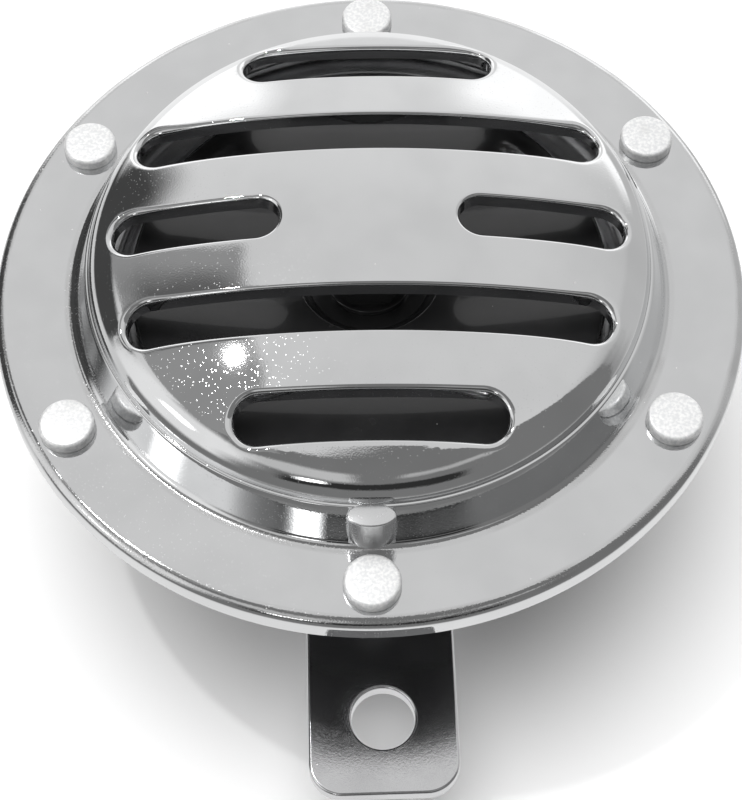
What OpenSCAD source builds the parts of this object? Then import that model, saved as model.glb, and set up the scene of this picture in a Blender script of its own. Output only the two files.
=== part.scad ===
// Electromagnetic disc horn with a slotted, plated front grille and a mounting strap.
// Origin at the axis of the strap's bolt hole, on the strap's rear face. +Z is the way the sound leaves.

/* [Grille] */
// Outside diameter of the rim
rim_d = 102; // [98:1:106]
// Thickness of the pressed grille sheet
sheet = 0.9; // [0.7:0.1:1]
// Depth of the turned-down lip below the face of the flange
lip_depth = 3.6; // [3.4:0.1:4.2]
// Outer radius of the bend between flange and lip
lip_bend = 1.5; // [1.2:0.1:1.8]
// Diameter where the wall of the dome meets the flange
wall_d = 80.2; // [79.6:0.2:80.6]
// Radius in the corner between wall and flange
wall_fillet = 1.2; // [0.8:0.1:1.4]
// Diameter of the crease at the top of the wall
crease_d = 74.8; // [74:0.2:75.4]
// Height of the crease above the flange
crease_h = 6.5; // [6:0.1:6.8]
// Radius that turns the wall into the dome
shoulder_r = 3.2; // [2.8:0.1:3.5]
// Slope of the shoulder just above the crease, in degrees
shoulder_slope = 90; // [86:1:90]
// Spherical radius of the dome
dome_r = 109; // [107:1:118]

/* [Slots] */
// Width of a slot at its narrowest
slot_w = 6.2; // [5.5:0.1:6.6]
// Distance between the rows of slots
slot_pitch = 14; // [13.6:0.1:14]
// Half length of the two slots next to the middle row
long_slot = 31; // [29:0.1:31.2]
// Half length of the two outer slots
short_slot = 17; // [15:0.1:17.2]
// Where the middle row starts and ends, from the axis
middle_slot = [11.4, 33.6]; // [10:0.1:34]
// Step of the turned-in slot edge below the dome's surface
roll_step = 0.2; // [0.1:0.05:0.4]
// Depth of the turned-in slot edge below the dome
roll_depth = 2.6; // [2:0.1:3]

/* [Drain boss] */
// Diameter of the half-round boss at the foot of the wall
boss_d = 5.8; // [5:0.1:6.2]
// Height of the boss
boss_h = 6.3; // [5.8:0.1:6.5]
// Radius round the top of the boss
boss_edge = 0.35; // [0.2:0.05:0.5]

/* [Rivets] */
// Diameter of the circle the six rivets lie on
rivet_pcd = 91; // [90:0.2:92]
// Diameter of a rivet's flat head
rivet_head_d = 7.3; // [6.8:0.1:7.6]
// Height of a rivet's flat head
rivet_head_h = 1.7; // [1.3:0.1:2]
// Radius round the top of a rivet's head
rivet_edge = 0.45; // [0.3:0.05:0.6]
// Diameter of a rivet's shank
rivet_d = 4; // [3.4:0.1:4.2]

/* [Tone disc] */
// Diameter of the tone disc
tone_d = 64.6; // [60:0.2:66]
// Thickness of the tone disc
tone_t = 1.2; // [1:0.1:1.5]
// Height of the tone disc's plate above its dished centre
tone_dish = 2; // [1.5:0.1:2.5]

/* [Housing] */
// Outside diameter of the housing behind its flange
housing_d = 77; // [75:1:78]
// Thickness of the housing sheet
housing_t = 1.2; // [1:0.1:1.3]
// Outside depth of the housing behind the face of the grille flange
housing_depth = 23.4; // [23:0.1:23.8]

/* [Strap] */
// Width of the mounting strap
strap_w = 20; // [18:0.5:22]
// Thickness of the mounting strap
strap_t = 2.5; // [2:0.1:3]
// Distance from the horn's axis to the bolt hole
strap_reach = 53.5; // [50:0.5:60]
// Distance from the bolt hole to the strap's end
strap_end = 10.5; // [9:0.5:12]
// Corner radius at the strap's ends
strap_corner = 4.5; // [3:0.5:6]
// Diameter of the bolt hole
bolt_d = 8.5; // [8.4:0.1:9]
// Turn of the strap on the horn's stud, in degrees
strap_turn = 1.2; // [0:0.1:3]

/* [Hidden] */
$fn = 64;
eps = 0.02;

rim_r = rim_d / 2;
wall_r = wall_d / 2;
crease_r = crease_d / 2;
rivet_pcr = rivet_pcd / 2;
hole_gap = 0.05;
over_dome = 30;

// Centre of the shoulder arc, centre height of the dome and the angle where the two meet
sh_r = crease_r - shoulder_r * sin(shoulder_slope);
sh_z = crease_h - shoulder_r * cos(shoulder_slope);
dome_z = sh_z - sqrt(pow(dome_r - shoulder_r, 2) - sh_r * sh_r);
meet = asin(sh_r / (dome_r - shoulder_r));

// Heights below the face of the grille flange, downwards through the clamped rim
gasket_t = 0.3;
diaphragm_t = 0.4;
front_gasket_z = -sheet - gasket_t;
diaphragm_z = front_gasket_z - diaphragm_t;
rear_gasket_z = diaphragm_z - gasket_t;
housing_flange_z = rear_gasket_z - housing_t;
floor_out = -housing_depth;
floor_in = floor_out + housing_t;
housing_rim_r = rim_r - sheet - 0.5;
clamped_r = housing_rim_r - 0.3;

// The horn's place over the strap's bolt hole
spacer_t = 1.6;
strap_top = floor_out - spacer_t;
horn_at = [-strap_reach * sin(strap_turn), strap_reach * cos(strap_turn), strap_t - strap_top];

// Magnet
pole_r = 7;
pole_z = -8.6;
yoke_r = 18;
yoke_t = 1.5;
stud_r = 4;
stud_end = -38;
armature_z = pole_z + 1;
armature_t = 3;
armature_r = 17;
tongue_x = 23.5;
tone_stud_r = 3;
tone_stud_top = 5.6;

// Breaker, alongside the yoke, as plan positions from the horn's axis
breaker_x = 23;
leaf_w = 7;
leaf_t = 0.3;
leaf_z = -13.6;
base_y = [-19, -8];
leaf_end = 14;
arm_t = 1;
arm_z = -10.6;
arm_end = 19.5;
neck_w = 3.2;
contact_at = [breaker_x + 0.5, 11];
contact_r = 1.6;
contact_z = -12;
pusher_at = [breaker_x - 1.4, 0];
clamp_ins_t = 0.6;
clamp_t = 0.8;
breaker_rivets_y = [-16.5, -10.5];
breaker_rivet_r = 1.2;
sleeve_r = 2;
adjuster_at = [breaker_x + 0.5, 17];
screw_r = 2.5;

// Terminals, on the other side of the housing
term_x = -23.5;
term_y = [-1.5, 9.5];
term_plate = [10, 24];
term_plate_mid = [term_x, 4];
term_out_t = 2;
term_in_t = 1.5;
blade_w = 6.3;
blade_t = 0.8;
term_rivet_r = 1.5;
term_hole_r = 3.5;

module on_horn() translate(horn_at) children();

module round_rivets() for (i = [0:5]) rotate([0, 0, i * 60 + 30]) translate([rivet_pcr, 0, 0]) children();

// A flat ring between two heights
module ring(r_in, r_out, z0, z1) translate([0, 0, z0]) difference() {
    cylinder(r = r_out, h = z1 - z0);
    translate([0, 0, -1]) cylinder(r = r_in, h = z1 - z0 + 2);
}

module disc(r, z0, z1) translate([0, 0, z0]) cylinder(r = r, h = z1 - z0);

// A rectangle with rounded corners, from straight edges and true circles
module round_rect(w, l, r) {
    square([w - 2 * r, l], center = true);
    square([w, l - 2 * r], center = true);
    for (x = [-1, 1], y = [-1, 1]) translate([x * (w / 2 - r), y * (l / 2 - r)]) circle(r = r);
}

// Everything under the dome's surface, moved inwards by off: cap, shoulder and wall
module dome_solid(off) {
    mid = [sh_r, sh_z];
    far = 20;
    low = -off - 0.2;
    up = [sin(meet), cos(meet)];
    out = [sin(shoulder_slope), cos(shoulder_slope)];
    n = [crease_h, wall_r - crease_r] / norm([crease_h, wall_r - crease_r]);
    rotate_extrude() intersection() {
        translate([0, dome_z]) circle(r = dome_r - off, $fn = 360);
        polygon([[0, low], [sh_r, low], mid, mid + far * up, [0, dome_z + dome_r + far]]);
    }
    rotate_extrude() intersection() {
        translate(mid) circle(r = shoulder_r - off);
        polygon([mid, mid + far * up, mid + far * (up + out), mid + far * out]);
    }
    rotate_extrude() polygon([[sh_r - 1, low], [sh_r - 1, sh_z - 0.5], mid,
        mid + (shoulder_r - off / (out * n)) * out, [wall_r - off * (1 - n[1]) / n[0], -off],
        [wall_r - off - 0.5, low]]);
}

// The block under the flange, with its bent edge, moved inwards by off
module rim_solid(off) {
    corner = [rim_r - lip_bend, -lip_bend];
    rotate_extrude() difference() {
        translate([sh_r - 1, -lip_depth - off]) square([rim_r - off - sh_r + 1, lip_depth]);
        difference() {
            translate(corner) square(lip_bend + 1);
            translate(corner) circle(r = lip_bend - off);
        }
    }
}

module wall_fillet_ring() {
    n = [crease_h, wall_r - crease_r] / norm([crease_h, wall_r - crease_r]);
    mid = [wall_r + wall_fillet * (1 - n[1]) / n[0], wall_fillet];
    rotate_extrude() difference() {
        polygon([[wall_r - 0.3, -0.3], [mid[0], -0.3], mid, mid - wall_fillet * n, [wall_r - 0.3, 0.3]]);
        translate(mid) circle(r = wall_fillet);
    }
}

module grille_shell() difference() {
    union() {
        dome_solid(0, $fn = 180);
        rim_solid(0, $fn = 180);
        wall_fillet_ring($fn = 180);
    }
    dome_solid(sheet, $fn = 180);
    rim_solid(sheet, $fn = 180);
}

// A disc of radius r from z0 to z1 whose upper edge is rounded
module flat_head(r, z0, z1, edge) rotate_extrude() {
    translate([0, z0]) square([r - edge, z1 - z0]);
    translate([0, z0]) square([r, z1 - edge - z0]);
    translate([r - edge, z1 - edge]) circle(r = edge);
}

// The boss stands a little behind the foot of the wall and grows out of the slope
module boss() translate([0, 0.3 + boss_d / 2 - wall_r, 0]) children();

// Outline of a slot with round ends in row y from x0 to x1, made wider by grow on every side
module slot(y, x0, x1, grow) translate([(x0 + x1) / 2, y]) {
    half = (x1 - x0 - slot_w) / 2;
    square([2 * half, slot_w + 2 * grow], center = true);
    for (s = [-1, 1]) translate([s * half, 0]) circle(r = slot_w / 2 + grow);
}

module slots(grow) {
    for (s = [-1, 1]) {
        slot(s * slot_pitch, -long_slot, long_slot, grow);
        slot(s * 2 * slot_pitch, -short_slot, short_slot, grow);
    }
    slot(0, middle_slot[0], middle_slot[1], grow);
    slot(0, -middle_slot[1], -middle_slot[0], grow);
}

// The turned-in edges as blocks under the dome, still without their slots
module slot_edges() {
    edge_reach = 34.6;
    intersection() {
        linear_extrude(over_dome) intersection() {
            slots(sheet);
            circle(r = edge_reach);
        }
        difference() {
            translate([0, 0, dome_z]) sphere(r = dome_r - roll_step, $fn = 180);
            translate([0, 0, dome_z]) sphere(r = dome_r - roll_depth, $fn = 180);
        }
    }
}

// One bright plated pressing: flange with lip, wall, dome with turned-in slot edges, and drain boss
module front_grille() color([0.86, 0.87, 0.88]) on_horn() difference() {
    union() {
        grille_shell();
        slot_edges();
        difference() {
            boss() flat_head(boss_d / 2, -sheet / 2, boss_h, boss_edge);
            dome_solid(sheet, $fn = 180);
        }
    }
    linear_extrude(over_dome) slots(0);
    boss() disc(boss_d / 2 - sheet, -sheet - 1, boss_h - sheet);
    round_rivets() disc(rivet_d / 2 + hole_gap, -sheet - 1, 1);
}

// Six solid rivets, flat head in front, closed by a shallow dome behind
module flange_rivets() color([0.72, 0.73, 0.74]) on_horn() round_rivets() {
    tail_r = 3.1;
    tail_h = 1.2;
    flat_head(rivet_head_d / 2, 0, rivet_head_h, rivet_edge);
    disc(rivet_d / 2, housing_flange_z - tail_h / 2, rivet_head_h / 2);
    translate([0, 0, housing_flange_z - tail_h]) cylinder(r1 = tail_r - 0.9, r2 = tail_r, h = tail_h);
}

module clamped_sheet(r_in, z0, z1) difference() {
    ring(r_in, clamped_r, z0, z1);
    round_rivets() disc(rivet_d / 2 + hole_gap, z0 - 1, z1 + 1);
}

module front_gasket() color([0.25, 0.24, 0.22]) on_horn() clamped_sheet(wall_r + 0.6, front_gasket_z, -sheet);

module rear_gasket() color([0.25, 0.24, 0.22]) on_horn()
    clamped_sheet(housing_d / 2 + 0.6, rear_gasket_z, diaphragm_z);

// Thin spring steel, flat in the middle, with one ripple outside the tone disc
module diaphragm() color([0.62, 0.63, 0.64]) on_horn() difference() {
    ripple = [33, 37.4];
    depth = 0.8;
    steps = 16;
    wave = [for (i = [0:steps]) let (t = i / steps)
        [ripple[0] + (ripple[1] - ripple[0]) * t, diaphragm_z - depth * (1 - cos(360 * t)) / 2]];
    section = concat([[tone_stud_r + hole_gap, diaphragm_z]], wave, [[clamped_r, diaphragm_z]]);
    lifted = [for (i = [len(section) - 1:-1:0]) section[i] + [0, diaphragm_t]];
    rotate_extrude($fn = 120) polygon(concat(section, lifted));
    round_rivets() disc(rivet_d / 2 + hole_gap, diaphragm_z - 1, 1);
}

// Half section of the housing cup moved inwards by off
module cup_section(off) {
    corner = 4;
    taper = 1;
    r_top = housing_d / 2;
    r_low = r_top - taper;
    translate([0, floor_out + off]) square([r_low - corner, 10]);
    translate([r_low - corner, floor_out + corner]) circle(r = corner - off);
    polygon([[0, floor_out + corner], [r_low - off, floor_out + corner],
        [r_top - off, rear_gasket_z - housing_t / 2], [0, rear_gasket_z - housing_t / 2]]);
}

// Pressed steel cup that carries the magnet, breaker and terminals
module rear_housing() color([0.14, 0.14, 0.15]) on_horn() difference() {
    rotate_extrude($fn = 180) difference() {
        union() {
            cup_section(0);
            translate([housing_d / 2 - 3, housing_flange_z]) square([housing_rim_r - housing_d / 2 + 3, housing_t]);
        }
        cup_section(housing_t);
        translate([0, rear_gasket_z - housing_t / 2 - eps]) square([housing_d / 2 - housing_t, 3]);
    }
    round_rivets() disc(rivet_d / 2 + hole_gap, housing_flange_z - 1, 0);
    disc(stud_r + 0.1, floor_out - 1, floor_in + 1);
    for (y = term_y) translate([term_x, y, 0]) disc(term_hole_r, floor_out - 1, floor_in + 1);
    for (y = breaker_rivets_y)
        translate([breaker_x, y, 0]) disc(breaker_rivet_r + hole_gap, floor_out - 1, floor_in + 1);
    translate(adjuster_at) disc(3.5, floor_out - 1, floor_in + 1);
}

// Pressed steel disc with a dished centre, clamped on the diaphragm's stud
module tone_disc() color([0.05, 0.05, 0.055]) on_horn() {
    z = -sheet - gasket_t;
    dish = [8, 10];
    r = tone_d / 2;
    rotate_extrude($fn = 120) {
        polygon([[tone_stud_r + hole_gap, z], [dish[0], z], [dish[1], z + tone_dish],
            [r - tone_t / 2, z + tone_dish], [r - tone_t / 2, z + tone_dish + tone_t],
            [dish[1] - 0.6, z + tone_dish + tone_t], [dish[0] - 0.6, z + tone_t],
            [tone_stud_r + hole_gap, z + tone_t]]);
        translate([r - tone_t / 2, z + tone_dish + tone_t / 2]) circle(r = tone_t / 2);
    }
}

tone_seat = -sheet - gasket_t + tone_t;

module tone_disc_washer() color([0.05, 0.05, 0.055]) on_horn()
    ring(tone_stud_r + 0.2, 6, tone_seat, tone_seat + 1);

// A hexagon nut with chamfered corners, across flats af, bored for radius r
module hex_nut(af, h, r) difference() {
    intersection() {
        cylinder(r = af / sqrt(3), h = h, $fn = 6);
        rotate_extrude() polygon([[0, 0], [af / 2, 0], [af / 2 + 1.2, 0.7], [af / 2 + 1.2, h - 0.7],
            [af / 2, h], [0, h]]);
    }
    translate([0, 0, -1]) cylinder(r = r, h = h + 2);
}

module tone_disc_nut() color([0.05, 0.05, 0.055]) on_horn() translate([0, 0, tone_seat + 1])
    hex_nut(10, 3.2, tone_stud_r + hole_gap);

module diaphragm_washer() color([0.6, 0.6, 0.6]) on_horn()
    ring(tone_stud_r + hole_gap, 10, diaphragm_z - 1, diaphragm_z);

// Turned stud: hub against the diaphragm, spigot riveted in the armature plate
module armature_stud() color([0.7, 0.7, 0.72]) on_horn() {
    hub_z = armature_z + armature_t;
    rotate_extrude() polygon([[0, armature_z], [4, armature_z], [4, hub_z], [7, hub_z],
        [7, diaphragm_z - 1], [tone_stud_r, diaphragm_z - 1], [tone_stud_r, tone_stud_top - 0.6],
        [tone_stud_r - 0.6, tone_stud_top], [0, tone_stud_top]]);
}

// Stamped plate over the pole, with a tongue that reaches over the contact leaf
module armature_plate() color([0.45, 0.45, 0.47]) on_horn() translate([0, 0, armature_z])
    linear_extrude(armature_t) difference() {
        union() {
            circle(r = armature_r);
            translate([0, -4]) square([tongue_x - 2, 8]);
            translate([0, -2]) square([tongue_x, 4]);
            for (s = [-1, 1]) translate([tongue_x - 2, s * 2]) circle(r = 2);
        }
        circle(r = 4);
    }

// Pole, neck through the yoke and M8 stud, turned in one piece
module magnet_core() color([0.62, 0.62, 0.64]) on_horn() {
    yoke_top = floor_in + yoke_t;
    rotate_extrude() polygon([[0, stud_end], [stud_r - 0.9, stud_end], [stud_r, stud_end + 0.9],
        [stud_r, floor_in], [5, floor_in], [5, yoke_top], [pole_r, yoke_top],
        [pole_r, pole_z - 0.5], [pole_r - 0.5, pole_z], [0, pole_z]]);
}

// Steel cup that leads the field round the coil, open on one side for the leads
module magnet_yoke() color([0.5, 0.5, 0.52]) on_horn() difference() {
    rotate_extrude($fn = 120) difference() {
        union() {
            translate([0, floor_in]) square([yoke_r - 2, 3]);
            translate([0, floor_in + 2]) square([yoke_r, pole_z - floor_in - 2]);
            translate([yoke_r - 2, floor_in + 2]) circle(r = 2);
        }
        translate([0, floor_in + yoke_t]) square([yoke_r - yoke_t, 20]);
    }
    disc(5 + hole_gap, floor_in - 1, pole_z);
    translate([-yoke_r - 2, -3, floor_in + yoke_t + 1]) cube([8, 6, 20]);
}

bobbin_z = [floor_in + yoke_t, pole_z - 0.8];

module coil_bobbin() color([0.85, 0.82, 0.72]) on_horn() rotate_extrude() {
    r = 15.6;
    flange = 1.2;
    translate([pole_r + 0.15, bobbin_z[0]]) square([1.1, bobbin_z[1] - bobbin_z[0]]);
    for (z = [bobbin_z[0], bobbin_z[1] - flange])
        translate([pole_r + 0.15, z]) square([r - pole_r - 0.15, flange]);
}

module coil_winding() color([0.72, 0.36, 0.16]) on_horn()
    ring(pole_r + 1.25, 14.6, bobbin_z[0] + 1.2, bobbin_z[1] - 1.2);

// Outline of a strip lying along Y at the breaker
module strip(y0, y1, w) translate([breaker_x - w / 2, y0]) square([w, y1 - y0]);

module breaker_holes(r) for (y = breaker_rivets_y) translate([breaker_x, y]) circle(r = r);

module breaker_base() color([0.2, 0.12, 0.08]) on_horn() translate([0, 0, floor_in])
    linear_extrude(leaf_z - floor_in) difference() {
        strip(base_y[0], base_y[1], 8);
        breaker_holes(breaker_rivet_r + hole_gap);
    }

module contact_leaf() color([0.75, 0.6, 0.3]) on_horn() translate([0, 0, leaf_z])
    linear_extrude(leaf_t) difference() {
        union() {
            strip(base_y[0], leaf_end - 2, leaf_w);
            strip(leaf_end - 3, leaf_end, leaf_w - 4);
            for (s = [-1, 1]) translate([breaker_x + s * (leaf_w / 2 - 2), leaf_end - 2]) circle(r = 2);
        }
        breaker_holes(sleeve_r + hole_gap);
        translate(pusher_at) circle(r = 0.8);
    }

module leaf_pusher() color([0.45, 0.2, 0.12]) on_horn() translate(pusher_at) {
    disc(1.5, leaf_z + leaf_t, armature_z - 0.2);
    disc(0.8, leaf_z - 0.5, leaf_z + leaf_t + eps);
}

module moving_contact() color([0.6, 0.6, 0.62]) on_horn() translate(contact_at)
    disc(contact_r, leaf_z + leaf_t, contact_z);

module fixed_contact() color([0.6, 0.6, 0.62]) on_horn() translate(contact_at)
    disc(contact_r, contact_z, arm_z);

module breaker_spacer() color([0.2, 0.12, 0.08]) on_horn() translate([0, 0, leaf_z + leaf_t])
    linear_extrude(arm_z - leaf_z - leaf_t) difference() {
        strip(base_y[0], base_y[1], 8);
        breaker_holes(sleeve_r + hole_gap);
    }

// Stiff arm above the leaf: a neck passes the pusher, and the far end rests on the adjusting screw
module contact_arm() color([0.68, 0.68, 0.66]) on_horn() translate([0, 0, arm_z])
    linear_extrude(arm_t) difference() {
        union() {
            strip(base_y[0], base_y[1], leaf_w);
            strip(contact_at[1] - 3, arm_end, leaf_w);
            translate([breaker_x + leaf_w / 2 - neck_w + 0.3, base_y[0] + 4])
                square([neck_w, arm_end - base_y[0] - 8]);
        }
        breaker_holes(sleeve_r + hole_gap);
    }

module breaker_insulator() color([0.3, 0.2, 0.12]) on_horn() translate([0, 0, arm_z + arm_t])
    linear_extrude(clamp_ins_t) difference() {
        strip(base_y[0], base_y[1], 8);
        breaker_holes(breaker_rivet_r + hole_gap);
    }

module breaker_clamp() color([0.6, 0.6, 0.6]) on_horn() translate([0, 0, arm_z + arm_t + clamp_ins_t])
    linear_extrude(clamp_t) difference() {
        strip(base_y[0] + 0.5, base_y[1] - 0.5, 7);
        breaker_holes(breaker_rivet_r + hole_gap);
    }

module breaker_sleeves() color([0.8, 0.78, 0.7]) on_horn() for (y = breaker_rivets_y)
    translate([breaker_x, y, 0]) ring(breaker_rivet_r + hole_gap, sleeve_r, leaf_z, arm_z + arm_t);

module breaker_rivets() color([0.7, 0.7, 0.7]) on_horn() for (y = breaker_rivets_y)
    translate([breaker_x, y, 0]) {
        top = arm_z + arm_t + clamp_ins_t + clamp_t;
        disc(breaker_rivet_r, floor_out - 0.5, top + 0.4);
        translate([0, 0, top]) cylinder(r1 = 2.2, r2 = 1.6, h = 0.8);
        translate([0, 0, floor_out - 0.9]) cylinder(r1 = 1.7, r2 = 2.4, h = 0.9);
    }

module adjuster_bush() color([0.72, 0.6, 0.3]) on_horn() translate(adjuster_at) difference() {
    union() {
        disc(4.5, floor_in, floor_in + 4);
        disc(3.45, floor_out, floor_in + 1);
    }
    disc(screw_r + hole_gap, floor_out - 1, floor_in + 5);
}

// Grub screw with a screwdriver slot, its tip under the end of the contact arm
module adjusting_screw() color([0.66, 0.66, 0.68]) on_horn() translate(adjuster_at) {
    low = floor_out - 6.4;
    difference() {
        union() {
            disc(screw_r, low, arm_z - 1);
            translate([0, 0, arm_z - 1]) cylinder(r1 = screw_r, r2 = screw_r - 1, h = 1);
        }
        translate([-4, -0.4, low - 1]) cube([8, 0.8, 2.2]);
    }
}

module adjuster_lock_nut() color([0.72, 0.68, 0.5]) on_horn()
    translate([adjuster_at[0], adjuster_at[1], floor_out - 4]) hex_nut(8, 4, screw_r + hole_gap);

// Insulating plate outside the housing, under the two spade terminals
module terminal_plate() color([0.12, 0.08, 0.06]) on_horn() translate([0, 0, floor_out - term_out_t])
    linear_extrude(term_out_t) difference() {
        translate(term_plate_mid) round_rect(term_plate[0], term_plate[1], 2);
        for (y = term_y) translate([term_x, y]) circle(r = term_rivet_r + hole_gap);
    }

// Insulating plate inside the housing, with collars that fill the two holes in the floor
module terminal_inner_plate() color([0.12, 0.08, 0.06]) on_horn() difference() {
    union() {
        translate([0, 0, floor_in]) linear_extrude(term_in_t)
            translate(term_plate_mid) round_rect(term_plate[0], term_plate[1], 2);
        for (y = term_y) translate([term_x, y, 0]) disc(term_hole_r - 0.1, floor_out, floor_in + 0.5);
    }
    for (y = term_y) translate([term_x, y, 0]) disc(term_rivet_r + hole_gap, floor_out - 1, floor_in + 3);
}

// A spade bent square from its riveted foot: blade outline in the plane of the blade
module spade(y) {
    foot_z = floor_out - term_out_t - blade_t;
    blade_len = 9.2;
    back = term_x - 4.4;
    translate([0, 0, foot_z]) linear_extrude(blade_t) difference() {
        translate([back + 1, y - blade_w / 2]) square([term_x + 3.2 - back - 1, blade_w]);
        translate([term_x, y]) circle(r = term_rivet_r + hole_gap);
    }
    translate([back + 1, y + blade_w / 2, foot_z - 0.2]) rotate([90, 0, 0]) rotate([0, 0, 90])
        rotate_extrude(angle = 90) translate([0.2, 0]) square([blade_t, blade_w]);
    translate([back + blade_t, y, foot_z - 0.2]) rotate([0, -90, 0]) linear_extrude(blade_t) difference() {
        polygon([[0, -blade_w / 2], [0, blade_w / 2], [1 - blade_len, blade_w / 2],
            [-blade_len, blade_w / 2 - 1], [-blade_len, 1 - blade_w / 2], [1 - blade_len, -blade_w / 2]]);
        translate([3.6 - blade_len, 0]) circle(r = 0.9);
    }
}

module coil_terminal() color([0.82, 0.76, 0.5]) on_horn() spade(term_y[0]);

module breaker_terminal() color([0.82, 0.76, 0.5]) on_horn() spade(term_y[1]);

tag_z = floor_in + term_in_t;

module terminal_rivets() color([0.8, 0.7, 0.4]) on_horn() for (y = term_y) translate([term_x, y, 0]) {
    low = floor_out - term_out_t - blade_t;
    disc(term_rivet_r, low - 0.4, tag_z + 0.9);
    translate([0, 0, tag_z + 0.5]) cylinder(r1 = 2.6, r2 = 2, h = 0.9);
    translate([0, 0, low - 0.8]) cylinder(r1 = 1.9, r2 = 2.5, h = 0.8);
}

module solder_tags() color([0.85, 0.85, 0.82]) on_horn() for (i = [0, 1])
    translate([term_x, term_y[i], tag_z]) rotate([0, 0, i == 0 ? -20 : 60]) linear_extrude(0.5) difference() {
        union() {
            circle(r = 3);
            translate([1, -1.2]) square([4.2, 2.4]);
        }
        circle(r = term_rivet_r + hole_gap);
    }

// A lead of radius r swept along a smooth curve through hand-placed points
function bend_at(p, i, t) = let (a = p[max(i - 1, 0)], b = p[i], c = p[i + 1], d = p[min(i + 2, len(p) - 1)])
    0.5 * (2 * b + (c - a) * t + (2 * a - 5 * b + 4 * c - d) * t * t + (3 * b - a - 3 * c + d) * t * t * t);
function curve(p, n) = [for (i = [0:len(p) - 2], k = [0:n - 1]) bend_at(p, i, k / n)];
function heading(c, i) = let (v = c[min(i + 1, len(c) - 1)] - c[max(i - 1, 0)]) v / norm(v);

module lead(points, r) {
    sides = 8;
    path = concat(curve(points, 4), [points[len(points) - 1]]);
    rings = [for (i = [0:len(path) - 1]) let (t = heading(path, i), q = cross([0.1, 0.2, 1], t),
        u = q / norm(q), v = cross(t, u)) for (k = [0:sides - 1])
        path[i] + r * (cos(k * 360 / sides) * u + sin(k * 360 / sides) * v)];
    last = (len(path) - 1) * sides;
    polyhedron(rings, concat([[for (k = [sides - 1:-1:0]) k]], [[for (k = [0:sides - 1]) last + k]],
        [for (i = [0:len(path) - 2], k = [0:sides - 1]) let (n = (k + 1) % sides, b = i * sides)
            [b + k, b + n, b + sides + n, b + sides + k]]));
}

lead_r = 0.7;

module coil_lead() color([0.6, 0.12, 0.08]) on_horn() lead([[-14.75, -1.4, -15], [-16.9, -1.6, -15.4],
    [-18.9, -2.2, -17], [-19.4, -2.9, -19], [-19.35, -3, tag_z + 0.6]], lead_r);

module breaker_lead() color([0.6, 0.12, 0.08]) on_horn() lead([[-14.8, 1.5, -12], [-17, 1, -12.4],
    [-20, -2, -14], [-19, -10, -18], [-13, -18, -20.6], [-3, -22, -21], [8, -22.5, -21],
    [15, -21.5, -19.5], [18.4, -20.4, -16], [20, -19.75, -13.45]], lead_r);

module feed_lead() color([0.1, 0.1, 0.1]) on_horn() lead([[-21.2, 13.5, tag_z + 1.27], [-17, 18.5, -20],
    [-10, 23, -21], [0, 25.4, -21], [9, 25.2, -20.6], [15, 23.6, -18], [18.4, 21.8, -13.5],
    [20.6, 20.25, -10.1]], lead_r);

module strap_spacer() color([0.7, 0.7, 0.72]) on_horn() ring(stud_r + 0.2, 8, strap_top, floor_out);

// Flat steel strap from the stud to beyond the bolt hole, edges rounded over
module mounting_strap() color([0.8, 0.81, 0.82]) rotate([0, 0, strap_turn]) difference() {
    length = strap_reach + 2 * strap_end;
    edge = 0.4;
    union() {
        translate([0, strap_reach / 2, edge]) linear_extrude(strap_t - 2 * edge)
            round_rect(strap_w, length, strap_corner);
        translate([0, strap_reach / 2, 0]) linear_extrude(strap_t)
            round_rect(strap_w - 2 * edge, length - 2 * edge, strap_corner - edge);
    }
    translate([0, 0, -1]) cylinder(d = bolt_d, h = strap_t + 2);
    translate([0, strap_reach, -1]) cylinder(r = stud_r + 0.2, h = strap_t + 2);
}

lock_z = strap_top - strap_t - 2;

// Split spring washer
module lock_washer() color([0.6, 0.6, 0.62]) on_horn() difference() {
    ring(stud_r + 0.1, 7, lock_z, lock_z + 2);
    rotate([0, 0, -55]) translate([2, -0.5, lock_z - 1]) cube([6, 1, 4]);
}

module mounting_nut() color([0.7, 0.7, 0.72]) on_horn() translate([0, 0, lock_z - 6.5])
    hex_nut(13, 6.5, stud_r + hole_gap);

front_grille();
flange_rivets();
front_gasket();
diaphragm();
rear_gasket();
rear_housing();
tone_disc();
tone_disc_washer();
tone_disc_nut();
diaphragm_washer();
armature_stud();
armature_plate();
magnet_core();
magnet_yoke();
coil_bobbin();
coil_winding();
breaker_base();
contact_leaf();
leaf_pusher();
moving_contact();
fixed_contact();
breaker_spacer();
contact_arm();
breaker_insulator();
breaker_clamp();
breaker_sleeves();
breaker_rivets();
adjuster_bush();
adjusting_screw();
adjuster_lock_nut();
terminal_plate();
terminal_inner_plate();
coil_terminal();
breaker_terminal();
terminal_rivets();
solder_tags();
coil_lead();
breaker_lead();
feed_lead();
strap_spacer();
mounting_strap();
lock_washer();
mounting_nut();
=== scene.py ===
import math

import bpy
from mathutils import Matrix, Quaternion, Vector, geometry


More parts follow.
